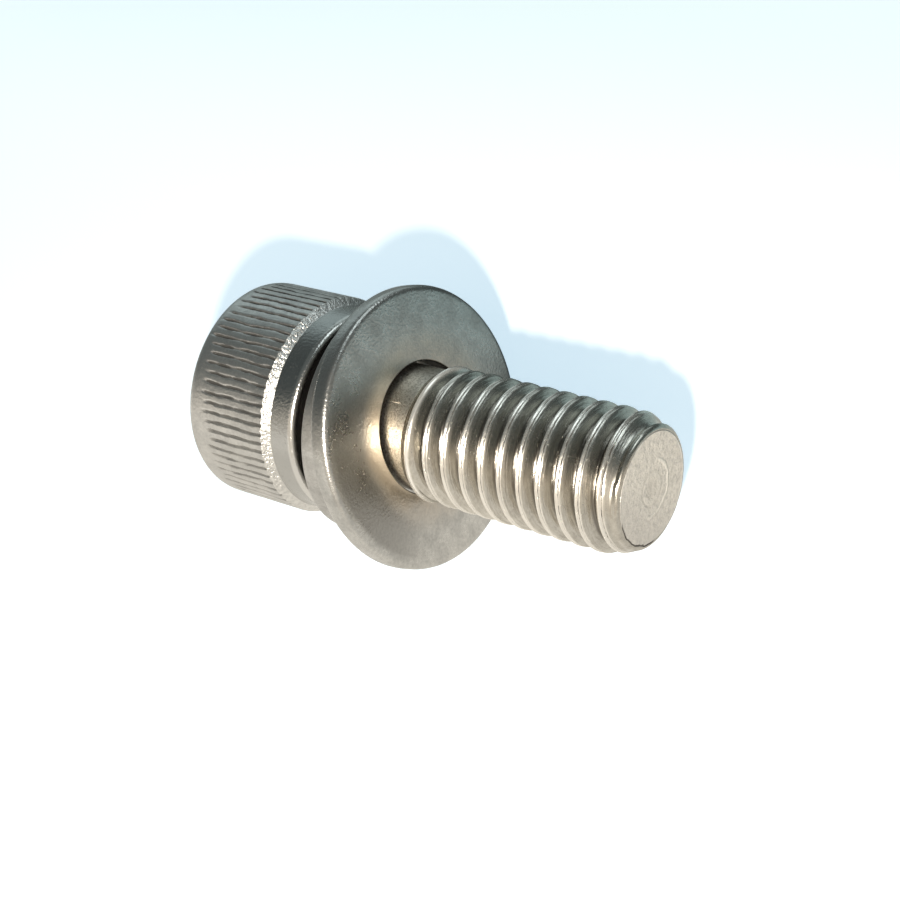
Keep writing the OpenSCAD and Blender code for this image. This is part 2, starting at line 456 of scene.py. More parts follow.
# Dirt and painted shade along the seam between the crest's lobes, in broken patches.
seam_dirt_and_shade = beside.band(0.0, 0.025, 0.045, 0.07) * on_thread * ragged.fade(0.38, 0.56)
shank_steel.paint(seam_dirt_and_shade, SEAM_DIRT_AND_SHADE, share=0.85)
shank_steel.polish(seam_dirt_and_shade, rough=0.5)
shank_steel.emboss((streaks * 0.006 - seam_dirt_and_shade * 0.03) * on_thread)

# The dark film in the roots holds painted shade as well.
root_film_and_shade = (1.0 - shank_radius.fade(FILM_DEEP, FILM_EDGE)) * on_thread
root_film_and_shade = root_film_and_shade * (1.0 - shank_z.fade(TIP_Z - 1.4, TIP_Z - 1.1))
shank_steel.paint(root_film_and_shade, ROOT_FILM_AND_SHADE, share=0.8)
# Painted highlight: a bright band on the collar where the thread starts.
collar_highlight = shank_z.band(SHOULDER_TOP - 0.11, SHOULDER_TOP - 0.01, SHOULDER_TOP + 0.15, SHOULDER_TOP + 0.29)
shank_steel.paint(collar_highlight, COLLAR_HIGHLIGHT, share=0.85)
shank_steel.matt(collar_highlight * 0.3)
shank_steel.paint(shank_steel.pits, SHANK_PIT, share=0.3)
shank_steel.emboss(shank_steel.pits * -0.01)
print("shank finish: thread marks")

# %% [markdown]
# ### Finish of the rolled shank: neck
# The plain neck is bright as well, with fine dark specks where the washers rub on it, and one short
# scratch along it. The specks are noise with a hard cut, and the scratch is a narrow mask beside one
# direction.

# %% Shank finish: neck
NECK_BRIGHT = (0.9, 0.865, 0.79)
NECK_SPECK = (0.24, 0.2, 0.15)
SCRATCH_BRIGHT = (0.85, 0.83, 0.79)
SCRATCH_SIDE = -106
SCRATCH_FROM, SCRATCH_TO = 12.4, 13.2

neck = 1.0 - shank_z.fade(NECK_END - 0.11, NECK_END + 0.04)
specks = shank_steel.cloud(7.0, 3.0, 0.7).fade(0.46, 0.58) * neck
shank_steel.paint(neck, NECK_BRIGHT, share=0.9)
shank_steel.polish(neck, rough=0.3)
shank_steel.paint(specks, NECK_SPECK, share=0.45)
shank_steel.emboss(specks * -0.006)
aim = math.radians(SCRATCH_SIDE)
across = (shank_steel.y * math.cos(aim) - shank_steel.x * math.sin(aim)).op("ABSOLUTE")
scratch = (1.0 - across.fade(0.01, 0.045)) * shank_steel.towards(SCRATCH_SIDE).fade(0.5, 0.8)
scratch = scratch * shank_z.band(SCRATCH_FROM - 0.05, SCRATCH_FROM + 0.05, SCRATCH_TO - 0.1, SCRATCH_TO + 0.1)
shank_steel.paint(scratch, SCRATCH_BRIGHT, share=0.5)
shank_steel.polish(scratch, rough=0.4)
shank_steel.emboss(scratch * -0.015)
print("shank finish: neck marks")

# %% [markdown]
# ### Finish of the rolled shank: tip
# The pressed tip is matt and blotchy, with a raised arc and a faint dimple in its middle. One fold runs
# along its edge, where the last turn of the thread was pushed over the face, and painted shade makes it a
# dark line. A painted highlight lies along the rim on one side. All of them are circles round the axis,
# made uneven by the same ragged noise, and cut to one side by a direction.

# %% Shank finish: tip
TIP_GREY = (0.6, 0.588, 0.556)
LIGHT_BLOTCH = (0.74, 0.715, 0.665)
DARK_BLOTCH = (0.44, 0.43, 0.42)
TIP_RIM_HIGHLIGHT = (0.97, 0.96, 0.93)
TIP_RIDGE = (0.82, 0.8, 0.75)
TIP_DIMPLE = (0.42, 0.40, 0.36)
TIP_SHADE = (0.42, 0.41, 0.4)
TIP_FOLD_SHADE = (0.03, 0.026, 0.022)
RIDGE_R, RIDGE_SIDE = 1.58, 100
DIMPLE_R = 0.975
RIM_SIDE = 112
FOLD_R, FOLD_SIDE = 3.1, -6

tip_face = shank_z.fade(TIP_Z - 0.045, TIP_Z - 0.015) * (1.0 - shank_radius.fade(TIP_R - 0.07, TIP_R))
uneven = shank_radius + (ragged - 0.5) * 0.35
ridge = uneven.band(RIDGE_R - 0.16, RIDGE_R - 0.02, RIDGE_R + 0.02, RIDGE_R + 0.16)
ridge = ridge * shank_steel.towards(RIDGE_SIDE).fade(-0.15, 0.25)
dimple_ring = uneven.band(DIMPLE_R - 0.125, DIMPLE_R - 0.025, DIMPLE_R + 0.025, DIMPLE_R + 0.125)
dimple = (1.0 - uneven.fade(0.45, 0.7)) * 0.6 + dimple_ring * 0.5
shank_steel.paint(tip_face, TIP_GREY, share=0.85)
shank_steel.polish(tip_face, rough=0.45)
shank_steel.matt(tip_face * 0.6)
shank_steel.emboss(tip_face * (ridge * 0.06 - dimple * 0.04 + ragged * 0.14))

blotches = shank_steel.cloud(3.6, 4.0, 0.7)
# Painted highlight along the rim of the tip on one side.
right_rim_highlight = shank_radius.fade(TIP_R - 0.15, TIP_R - 0.07) * shank_steel.towards(RIM_SIDE).fade(0.35, 0.8)
lower_side = (shank_steel.towards(FOLD_SIDE) * shank_radius).fade(-1.0, 3.2)
shank_steel.paint(tip_face * blotches.fade(0.4, 0.6), LIGHT_BLOTCH, share=0.6)
shank_steel.paint(tip_face * (1.0 - blotches.fade(0.36, 0.46)), DARK_BLOTCH, share=0.5)
shank_steel.paint(tip_face * right_rim_highlight, TIP_RIM_HIGHLIGHT, share=0.8)
shank_steel.paint(tip_face * ridge, TIP_RIDGE, share=0.8)
shank_steel.paint(tip_face * dimple, TIP_DIMPLE, share=0.4)
shank_steel.paint(tip_face * lower_side, TIP_SHADE, share=0.5)

fold_radius = shank_radius + (ragged - 0.5) * 0.3
# Painted shade: a dark line along the fold at the tip's edge.
fold_shade = fold_radius.band(FOLD_R - 0.07, FOLD_R - 0.02, FOLD_R + 0.02, FOLD_R + 0.08)
fold_shade = fold_shade * shank_steel.towards(FOLD_SIDE).fade(0.74, 0.84) * shank_z.fade(TIP_Z - 0.4, TIP_Z - 0.25)
shank_steel.paint(fold_shade, TIP_FOLD_SHADE, share=0.92)
shank_steel.polish(fold_shade, rough=0.8)
SHANK_STEEL = shank_steel.close()

# %% [markdown]
# ### Finishes of the washers
# The spring washer is darker and speckled, because it was hardened and tumbled. The flat washer is
# stamped from sheet and satin on its faces. A warm stain spreads round its bore, with painted reflection in
# it, and a painted golden reflection sits on one side near the bore. Further out, painted shade darkens the
# face on one side, and painted shade darkens the bore itself. The washer leans, so these marks take their
# distance from the washer's own axis and not from the screw's.

# %% Washer finishes
SPRING_PIT = (0.2, 0.19, 0.18)
FLAT_PIT = (0.24, 0.23, 0.22)
BORE_STAIN_AND_REFLECTION = (0.58, 0.49, 0.385)
GOLD_REFLECTION = (0.9, 0.78, 0.62)
DARK_SIDE_SHADE = (0.24, 0.232, 0.218)
BORE_SHADE = (0.04, 0.036, 0.032)
GOLD_SIDE = -75
DARK_SIDE = -45
FLAT_R = 8.15
FLAT_BORE_R = 3.8225
FLAT_Z = 12.4188
FLAT_LEAN = 12.6
FLAT_TURN = 218.8

spring_steel = Finish(
    "tumbled_spring_steel",
    light=(0.60, 0.595, 0.575),
    dark=(0.40, 0.395, 0.38),
    shiny=0.3,
    dull=0.44,
    sizes=(0.15, 0.9, 0.25),
    grain_height=0.008,
)
spring_steel.paint(spring_steel.pits, SPRING_PIT, share=0.45)
SPRING_STEEL = spring_steel.close()

flat_steel = Finish(
    "stamped_washer_steel",
    light=(0.62, 0.615, 0.59),
    dark=(0.40, 0.40, 0.385),
    shiny=0.24,
    dull=0.36,
    sizes=(0.16, 1.3, 0.3),
    grain_height=0.008,
)
flat_steel.paint(flat_steel.pits, FLAT_PIT, share=0.3)
from_axis = flat_steel.ring_radius(FLAT_Z, FLAT_LEAN, FLAT_TURN)
# A warm stain round the bore, which is also painted reflection.
stain_and_reflection = (1.0 - from_axis.fade(4.3, 6.3)) * (0.4 + flat_steel.patches * 0.6)
flat_steel.paint(stain_and_reflection, BORE_STAIN_AND_REFLECTION, share=0.6)
flat_steel.polish(stain_and_reflection * 0.6, rough=0.33)
# Painted reflection: a golden patch on one side near the bore.
gold_reflection = flat_steel.towards(GOLD_SIDE).fade(0.4, 0.95) * (1.0 - from_axis.fade(4.3, 5.4))
flat_steel.paint(gold_reflection, GOLD_REFLECTION, share=0.7)
# Painted shade: a darker stretch of the face on one side, further out.
dark = flat_steel.towards(DARK_SIDE).fade(0.5, 0.95) * from_axis.band(4.8, 5.7, 7.3, 7.7)
flat_steel.paint(dark * (0.6 + flat_steel.patches * 0.4), DARK_SIDE_SHADE, share=0.75)
# Painted shade darkens the bore.
bore_shade = 1.0 - from_axis.fade(FLAT_BORE_R + 0.03, FLAT_BORE_R + 0.12)
flat_steel.paint(bore_shade, BORE_SHADE, share=0.92)
FLAT_STEEL = flat_steel.close()

# %% [markdown]
# ## Turned shapes
# The head, the neck, the tip and the flat washer are bodies of revolution. A section is a list of corners,
# each with a rounding; the rounding matters, because it is what catches the light on real metal.
# The rows of the section are then turned round the axis. A row may also give its radius as a function
# of the angle, which is how the six flats of the socket join the same mesh.


# %% Section and lathe helpers
def soften(corners, steps):
    """Points along a section. A corner is (radius, height, length cut off each side for rounding)."""
    points = []
    for i, (r, z, cut) in enumerate(corners):
        here = Vector((r, z))
        if not cut:
            points.append((r, z))
            continue
        start = here + (Vector(corners[i - 1][:2]) - here).normalized() * cut
        end = here + (Vector(corners[(i + 1) % len(corners)][:2]) - here).normalized() * cut
        for k in range(steps + 1):
            t = k / steps
            p = start * (1 - t) ** 2 + here * (2 * t * (1 - t)) + end * t**2
            points.append((p.x, p.y))
    return points


def between(first, last, count):
    """Rows inside a straight stretch of a section."""
    return [
        tuple(a + (b - a) * k / (count + 1) for a, b in zip(first, last)) for k in range(1, count + 1)
    ]


def at(value, angle):
    """A number, or what a function of the angle gives there."""
    return value(angle) if callable(value) else value


def turned(rows, columns, shape=None):
    """Turns rows of (radius, height) in millimetres into a bmesh, new or given. Radius 0 is a pole."""
    if shape is None:
        shape = bmesh.new()
    rings = []
    for r, z in rows:
        if r == 0:
            rings.append([shape.verts.new((0, 0, z * MM))])
            continue
        ring = []
        for j in range(columns):
            a = math.tau * j / columns
            radius = at(r, a)
            x, y = radius * math.cos(a), radius * math.sin(a)
            ring.append(shape.verts.new((x * MM, y * MM, at(z, a) * MM)))
        rings.append(ring)
    for lower, upper in zip(rings, rings[1:]):
        for j in range(columns):
            corner = [
                lower[j % len(lower)],
                lower[(j + 1) % len(lower)],
                upper[(j + 1) % len(upper)],
                upper[j % len(upper)],
            ]
            shape.faces.new(dict.fromkeys(corner))
    return shape


WELD = 0.0004 * MM


def piece(name, shape, sharp):
    """An object at the origin from a bmesh: doubles merged, faces outwards, smooth but for sharp edges."""
    bmesh.ops.remove_doubles(shape, verts=shape.verts, dist=WELD)
    bmesh.ops.dissolve_degenerate(shape, edges=shape.edges, dist=WELD)
    bmesh.ops.recalc_face_normals(shape, faces=shape.faces)
    mesh = bpy.data.meshes.new(name)
    shape.to_mesh(mesh)
    shape.free()
    mesh.shade_smooth()
    mesh.set_sharp_from_angle(angle=math.radians(sharp))
    made = bpy.data.objects.new(name, mesh)
    scene.collection.objects.link(made)
    return made


def apply_tree(made, tree, values):
    """Runs a geometry tree on an object with the named values, and keeps the result as a plain mesh."""
    modifier = made.modifiers.new(tree.name, "NODES")
    modifier.node_group = tree
    for item in tree.interface.items_tree:
        if item.in_out == "INPUT" and item.name in values:
            modifier[item.identifier] = values[item.name]
    scene.view_layers[0].update()
    depsgraph = bpy.context.evaluated_depsgraph_get()
    mesh = bpy.data.meshes.new_from_object(made.evaluated_get(depsgraph))
    made.modifiers.remove(modifier)
    old = made.data
    made.data = mesh
    bpy.data.meshes.remove(old)
    return made


# %% [markdown]
# ## Head
# The blank of the head is turned first, with the socket's six flats in the same mesh. Real knurling is then
# rolled into it, and here a geometry tree does that job: it pushes the surface in along evenly
# spaced grooves. A row of copied grooves would be too even, because the real knurl wavers, is smeared in
# places and has ragged ends. So each groove has its own depth, width and ends, from noise that is fixed by
# its place, and on one worn side the grooves start further in.


# %% Head blank
def hex_radius(angle):
    """Distance from the axis to the socket's flats."""
    sector = math.radians(60)
    return SOCKET_AF / 2 / math.cos(angle % sector - sector / 2)


SOCKET_MOUTH = SOCKET_AF / 2 / math.cos(math.radians(30)) + SOCKET_LEAD


def mouth_depth(angle):
    """Depth at which the countersink meets a flat."""
    return (SOCKET_MOUTH - hex_radius(angle)) * math.tan(math.radians(30))


socket_rows = [
    (0, SOCKET_DEPTH + SOCKET_CONE),
    (SOCKET_AF / 2 * math.cos(math.radians(30)), SOCKET_DEPTH),
    (hex_radius, SOCKET_DEPTH),
    (hex_radius, SOCKET_DEPTH * 0.6),
    (hex_radius, mouth_depth),
    (SOCKET_MOUTH, 0.0),
]
rim_rows = soften([(SOCKET_MOUTH, 0, 0), (HEAD_R, 0, RIM_ROUND), (HEAD_R, KNURL_END, 0)], 9)[1:-1]
knurl_rows = between((HEAD_R, RIM_ROUND), (HEAD_R, KNURL_END), 30)
lower_rows = soften(
    [
        (HEAD_R, KNURL_END - 0.3, 0),
        (HEAD_R, KNURL_END, 0.1),
        (BAND_R, BAND_TOP, 0.08),
        (BEARING_R, HEAD_H, 0.36),
        (NECK_R - 0.4, HEAD_H, 0),
    ],
    6,
)[1:]
lower_rows.append((0, HEAD_H))
HEAD_COLUMNS = KNURL_GROOVES * 10
head_shape = turned(socket_rows + rim_rows + knurl_rows + lower_rows, HEAD_COLUMNS)
head = piece("screw_head", head_shape, 50.0)
print("head blank:", len(head.data.vertices), "vertices")


# %% Knurl tree
def new_tree(name, inputs):
    """An empty geometry tree with named numbers coming in."""
    tree = bpy.data.node_groups.new(name, "GeometryNodeTree")
    tree.interface.new_socket(name="Geometry", in_out="INPUT", socket_type="NodeSocketGeometry")
    tree.interface.new_socket(name="Geometry", in_out="OUTPUT", socket_type="NodeSocketGeometry")
    for each in inputs:
        tree.interface.new_socket(name=each, in_out="INPUT", socket_type="NodeSocketFloat")
    tree.interface.new_socket(name="Steel", in_out="INPUT", socket_type="NodeSocketMaterial")
    source = tree.nodes.new("NodeGroupInput")
    wires = {each: Wire(tree, source.outputs[each]) for each in inputs}
    return tree, source, wires


def close_tree(tree, source, geometry):
    """Ends a tree with plain geometry that carries its steel."""
    plain = tree.nodes.new("GeometryNodeRealizeInstances")
    steel = tree.nodes.new("GeometryNodeSetMaterial")
    out = tree.nodes.new("NodeGroupOutput")
    tree.links.new(geometry, plain.inputs["Geometry"])
    tree.links.new(plain.outputs[0], steel.inputs["Geometry"])
    tree.links.new(source.outputs["Steel"], steel.inputs["Material"])
    tree.links.new(steel.outputs[0], out.inputs["Geometry"])


WORN_AIM = math.radians(-40)
GROOVE_DRIFT = 0.5
GROOVE_WAVES = 0.24
RAGGED_START = 0.5
RAGGED_END = 0.12
WORN_START = 0.7
LEAD_IN = 0.5
SMEARED = 0.7


def knurl_tree():
    names = ("Grooves", "Depth", "Share", "Start", "End", "Unevenness")
    tree, source, size = new_tree("rolled_knurl", names)
    uneven = size["Unevenness"]
    position = tree.nodes.new("GeometryNodeInputPosition").outputs[0]
    x, y, z = split(tree, scaled(tree, position, 1.0 / MM))
    radius = (x * x + y * y).op("SQRT")
    around = y.op("ARCTAN2", x) / math.tau * size["Grooves"]
    number = (around + 0.5).op("FLOOR")
    # Noise over the head, for each groove as a whole, along each groove, and in smeared patches
    drift = noise(tree, bundle(tree, x * 0.5, y * 0.5, z * 0.35), 1.4, 2.0) - 0.5
    own = noise(tree, bundle(tree, number * 3.7, 0.0, 0.0), 1.0, 0.0)
    waves = noise(tree, bundle(tree, number * 2.9, 7.0, z * 0.9), 1.0, 3.0)
    smear = noise(tree, bundle(tree, x * 0.4, y * 0.4, z * 0.7), 1.6, 3.0)
    sway = drift * GROOVE_DRIFT + (waves - 0.5) * GROOVE_WAVES
    aside = (around - number + sway * uneven).op("ABSOLUTE")
    worn = ((x * math.cos(WORN_AIM) + y * math.sin(WORN_AIM)) / radius).fade(0.2, 0.9)
    start = size["Start"] + (own.fade(0.3, 0.7) * RAGGED_START + worn * WORN_START) * uneven
    end = size["End"] - own.fade(0.25, 0.75) * RAGGED_END * uneven
    along = z.band(start, start + LEAD_IN, end - 0.06, end + 0.1)
    wide = size["Share"] * (0.7 + waves * 0.6)
    cut = 1.0 - aside.fade(wide * 0.04, wide * 0.5)
    weak = 1.0 - uneven * SMEARED * smear.fade(0.42, 0.64) * (1.0 - z.fade(4.8, 5.8))
    deep = size["Depth"] * cut * along * weak * (0.6 + waves * 0.8)
    outside = radius.fade(HEAD_R - 0.45, HEAD_R - 0.3)
    inward = (0.0 - deep) / radius * outside
    offset = scaled(tree, bundle(tree, x * inward, y * inward, 0.0), MM)
    move = tree.nodes.new("GeometryNodeSetPosition")
    tree.links.new(source.outputs["Geometry"], move.inputs["Geometry"])
    tree.links.new(offset, move.inputs["Offset"])
    close_tree(tree, source, move.outputs[0])
    return tree


KNURL = {
    "Grooves": float(KNURL_GROOVES),
    "Depth": 0.16,
    "Share": 0.38,
    "Start": 0.55,
    "End": 6.06,
    "Unevenness": 1.0,
    "Steel": HEAD_STEEL,
}
apply_tree(head, knurl_tree(), KNURL)
print("knurled head:", len(head.data.polygons), "faces")

# %% [markdown]
# ## Thread
# A rolled thread is one profile carried along a helix. A flat grid stands for it: one side counts turns, the
# other goes once round the screw. The tree bends each grid point to its angle, raises it along
# the helix and sets its radius from the thread form. The form has rounded roots, and a crest with two lobes
# and a small step between them, where the metal rose from both sides between the dies. Rows of the grid
# are gathered at the crests, where that step needs them. A shallow hollow after the shoulder leaves a collar
# standing before the first turn. Points below the start or above the tip are clamped there, so the ends come
# out flat and close against neck and tip. A screw modifier would be quicker, but it can't change the form
# along the way.


# %% Thread tree
SHANK_COLUMNS = 144
ROWS_PER_TURN = 22
ROW_GATHER = 0.7
THREAD_TURNS = 14
SEAM_STEP = 0.65
TINY = 0.0001


def thread_tree():
    names = ("Crest radius", "Depth", "Pitch", "Start", "Tip", "Tip radius", "Chamfer", "Crest share")
    names += ("Seam", "Run in", "Start turn", "Wobble", "Tip edge", "Collar")
    tree, source, size = new_tree("rolled_thread", names)
    grid = tree.nodes.new("GeometryNodeMeshGrid")
    grid.inputs["Size X"].default_value = THREAD_TURNS
    grid.inputs["Size Y"].default_value = 1.0
    grid.inputs["Vertices X"].default_value = THREAD_TURNS * ROWS_PER_TURN + 1
    grid.inputs["Vertices Y"].default_value = SHANK_COLUMNS + 1
    x, y, _ = split(tree, tree.nodes.new("GeometryNodeInputPosition").outputs[0])
    rows = x + THREAD_TURNS / 2
    turns = rows - (rows * math.tau).op("SINE") * (ROW_GATHER / math.tau)
    round_once = y + 0.5
    rise = size["Start"] + size["Pitch"] * (turns + round_once - 1.0 - size["Start turn"])
    grown = ((rise - size["Start"]) / (size["Pitch"] * size["Run in"])).clamp()
    side = turns - (turns + 0.5).op("FLOOR")
    aside = side.op("ABSOLUTE")
    flank = size["Depth"] * math.tan(math.radians(30)) / size["Pitch"]
    form = (aside - size["Crest share"] / 2) / flank
    form = form.op("SMOOTH_MAX", 0.0, 0.16).op("SMOOTH_MIN", 1.0, 0.22)
    seam = side.fade(-0.12, 0.03) - side.fade(0.03, 0.055) * SEAM_STEP
    seam = (seam - side.fade(0.1, 0.3) * (1.0 - SEAM_STEP)) * size["Seam"]
    angle = round_once * math.tau
    wander = bundle(tree, angle.op("COSINE") * 2.0, angle.op("SINE") * 2.0, rise * 0.9)
    wobble = (noise(tree, wander, 1.3) - 0.5) * size["Wobble"]
    below = (size["Tip"] - rise).high(0.0)
    slope = (size["Crest radius"] - size["Tip radius"] - size["Tip edge"]) / size["Chamfer"]
    lip = size["Tip edge"] * (below / size["Tip edge"]).clamp().op("SQRT")
    crest = (size["Tip radius"] + lip + below * slope).op("SMOOTH_MIN", size["Crest radius"], 0.1)
    depth = (crest - size["Crest radius"] + size["Depth"]).high(0.0) * below.fade(0.05, 0.5)
    radius = crest - grown * (depth * form + seam * grown * below.fade(0.2, 0.6) + wobble.high(0.0))
    past = rise - size["Start"]
    radius = radius - size["Collar"] * past.band(0.06, 0.42, 0.7, 1.2)
    at_tip = rise.op("GREATER_THAN", size["Tip"] - TINY)
    at_start = rise.op("LESS_THAN", size["Start"] + TINY)
    radius = radius + at_tip * (size["Tip radius"] - radius)
    radius = radius + at_start * (size["Crest radius"] - radius)
    height = rise.high(size["Start"]).low(size["Tip"])
    spot = bundle(tree, radius * angle.op("COSINE"), radius * angle.op("SINE"), height)
    move = tree.nodes.new("GeometryNodeSetPosition")
    tree.links.new(grid.outputs["Mesh"], move.inputs["Geometry"])
    tree.links.new(scaled(tree, spot, MM), move.inputs["Position"])
    close_tree(tree, source, move.outputs[0])
    return tree


THREAD = {
    "Crest radius": THREAD_R,
    "Depth": THREAD_DEPTH,
    "Pitch": PITCH,
    "Start": SHOULDER_TOP,
    "Tip": TIP_Z,
    "Tip radius": TIP_R,
    "Chamfer": TIP_CHAMFER,
    "Crest share": 0.23,
    "Seam": 0.1,
    "Run in": 0.6,
    "Start turn": THREAD_START,
    "Wobble": 0.05,
    "Tip edge": 0.22,
    "Collar": 0.16,
    "Steel": SHANK_STEEL,
}
thread = bpy.data.objects.new("thread_helix", bpy.data.meshes.new("thread_helix"))
scene.collection.objects.link(thread)
apply_tree(thread, thread_tree(), THREAD)
print("thread:", len(thread.data.vertices), "vertices")

# %% [markdown]
# ## Neck, tip and the whole screw
# The neck starts inside the head and ends where the thread starts, with the same number of columns, so the
# rings meet point for point. The flat tip closes the other end. Neck, thread and tip become one closed
# shell; with the head it is one forged piece, so both go into one object.

# %% Whole screw
NECK_SUNK = 0.5
neck_rows = [(0, HEAD_H - NECK_SUNK), (NECK_R - 0.02, HEAD_H - NECK_SUNK)]
neck_rows += soften([(NECK_R, HEAD_H - 0.4, 0), (NECK_R, NECK_END, 0.15), (THREAD_R, SHOULDER_TOP, 0)], 5)
tip_rows = [(r, TIP_Z) for r in (TIP_R, TIP_R - 0.1, TIP_R * 0.66, TIP_R * 0.33, 0)]

shank_shape = turned(neck_rows, SHANK_COLUMNS)
turned(tip_rows, SHANK_COLUMNS, shank_shape)
shank_shape.from_mesh(thread.data)
shank = piece("screw_shank", shank_shape, 55.0)
bpy.data.objects.remove(thread)

screw_shape = bmesh.new()
screw_shape.from_mesh(head.data)
for face in screw_shape.faces:
    face.material_index = 0
head_faces = len(screw_shape.faces)
screw_shape.from_mesh(shank.data)
screw_shape.faces.ensure_lookup_table()
for face in screw_shape.faces[head_faces:]:
    face.material_index = 1
screw = piece("cap_screw_steel", screw_shape, 50.0)
for steel in (HEAD_STEEL, SHANK_STEEL):
    screw.data.materials.append(steel)
for spare in (head, shank):
    bpy.data.objects.remove(spare)
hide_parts("cap_screw")
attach(screw, "screw")
print("screw:", len(screw.data.polygons), "faces")

# %% [markdown]
# ## Spring washer
# A spring lock washer is a bar coiled for not quite one turn, left-handed, and cut with a slant. The tree
# bends a flat grid into that bar: one side runs along the coil and the other goes once round the bar's
# section. A curve with a profile would do it too, but it could not slant the cut. The two sides of the
# grid are then merged and the ends filled. The washer leans a little on the head, as the CAD node does, and
# the mesh carries the lean, so the object itself stays unturned.

# %% Spring washer tree
SPRING_R = 6.7
SPRING_BORE_R = 3.8524
SPRING_T = 1.25
SPRING_Z = 8.7735
SPRING_RISE = 0.55
SPRING_SPLIT = math.degrees(1.1 / SPRING_R)
SPRING_SLANT = 7.0
SPRING_LEAN = 4.0
SPRING_TURN = 120.0
COIL_STEPS = 160
BAR_STEPS = 48
BAR_POWER = 0.22
SEAM_SHIFT = 1 / 16


def coil_tree():
    names = ("Mean radius", "Width", "Thickness", "Rise", "Split", "Slant", "Turn")
    tree, source, size = new_tree("spring_coil", names)
    grid = tree.nodes.new("GeometryNodeMeshGrid")
    grid.inputs["Size X"].default_value = 1.0
    grid.inputs["Size Y"].default_value = 1.0
    grid.inputs["Vertices X"].default_value = COIL_STEPS + 1
    grid.inputs["Vertices Y"].default_value = BAR_STEPS + 1
    x, y, _ = split(tree, tree.nodes.new("GeometryNodeInputPosition").outputs[0])
    along = x + 0.5
    # The grid's two sides meet away from the middle of a flank, where the formula below jumps
    about = (y + SEAM_SHIFT) * math.tau
    # The section is a superellipse: a rounded bar from one smooth formula
    cosine = about.op("COSINE")
    sine = about.op("SINE")
    side = cosine.op("SIGN") * cosine.op("ABSOLUTE").op("POWER", BAR_POWER)
    lift = sine.op("SIGN") * sine.op("ABSOLUTE").op("POWER", BAR_POWER)
    radius = size["Mean radius"] + side * size["Width"] / 2
    angle = size["Turn"] + size["Split"] / 2 + (360.0 - size["Split"]) * along + size["Slant"] * lift / 2
    angle = angle * (math.pi / 180)
    height = size["Thickness"] / 2 + lift * size["Thickness"] / 2 + size["Rise"] * (0.5 - along)
    spot = bundle(tree, radius * angle.op("COSINE"), radius * angle.op("SINE"), height)
    move = tree.nodes.new("GeometryNodeSetPosition")
    tree.links.new(grid.outputs["Mesh"], move.inputs["Geometry"])
    tree.links.new(scaled(tree, spot, MM), move.inputs["Position"])
    close_tree(tree, source, move.outputs[0])
    return tree


COIL = {
    "Mean radius": (SPRING_R + SPRING_BORE_R) / 2,
    "Width": SPRING_R - SPRING_BORE_R,
    "Thickness": SPRING_T,
    "Rise": SPRING_RISE,
    "Split": SPRING_SPLIT,
    "Slant": SPRING_SLANT,
    "Turn": SPRING_TURN,
    "Steel": SPRING_STEEL,
}
coil = bpy.data.objects.new("spring_coil", bpy.data.meshes.new("spring_coil"))
scene.collection.objects.link(coil)
apply_tree(coil, coil_tree(), COIL)


def leaning(height, lean, direction):
    """Where a washer that leans towards a direction sits on the screw."""
    to_side = Matrix.Rotation(math.radians(direction), 4, "Z")
    tip_over = Matrix.Rotation(math.radians(lean), 4, "Y")
    return Matrix.Translation((0, 0, height * MM)) @ to_side @ tip_over @ to_side.inverted()


coil_shape = bmesh.new()
coil_shape.from_mesh(coil.data)
bmesh.ops.remove_doubles(coil_shape, verts=coil_shape.verts, dist=WELD)
bmesh.ops.holes_fill(coil_shape, edges=[e for e in coil_shape.edges if e.is_boundary])
coil_shape.transform(leaning(SPRING_Z, SPRING_LEAN, SPRING_TURN))
spring = piece("spring_washer_steel", coil_shape, 35.0)
bpy.data.objects.remove(coil)
spring.data.materials.append(SPRING_STEEL)
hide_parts("spring_washer")
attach(spring, "spring_washer")
print("spring washer:", len(spring.data.polygons), "faces")

# %% [markdown]
# ## Flat washer
# The flat washer is stamped, so its edges are rounded on both faces. Its section is turned like the
# head's, and the mesh is then leaned as the loose washer leans on the screw.

# %% Flat washer
FLAT_T = 1.2
FLAT_COLUMNS = 192
half = FLAT_T / 2
# The outer corners are rounder than those of the bore
flat_corners = [
    (FLAT_R, -half, 0.38),
    (FLAT_R, half, 0.42),
    (FLAT_BORE_R, half, 0.12),
    (FLAT_BORE_R, -half, 0.2),
]
flat_rows = soften(flat_corners, 8)
flat_shape = turned(flat_rows + flat_rows[:1], FLAT_COLUMNS)
flat_shape.transform(leaning(FLAT_Z, FLAT_LEAN, FLAT_TURN))
flat = piece("flat_washer_steel", flat_shape, 50.0)
flat.data.materials.append(FLAT_STEEL)
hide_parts("flat_washer")
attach(flat, "flat_washer")
print("flat washer:", len(flat.data.polygons), "faces")

# %% [markdown]
# ## Floor
# In the picture the screw lies on a plain white surface, and its shadow falls behind it. The floor is
# laid where that surface is, just under the rim of the flat washer, so it is tilted in the screw's own frame.
# Turning the screw instead would move it out of the frame that it shares with the CAD part.

# %% Floor plane
FLOOR_UP = Vector((-0.4655, -0.8813, 0.0809)).normalized()
FLOOR_HALF = 0.5
FLOOR_GAP = 0.15 * MM

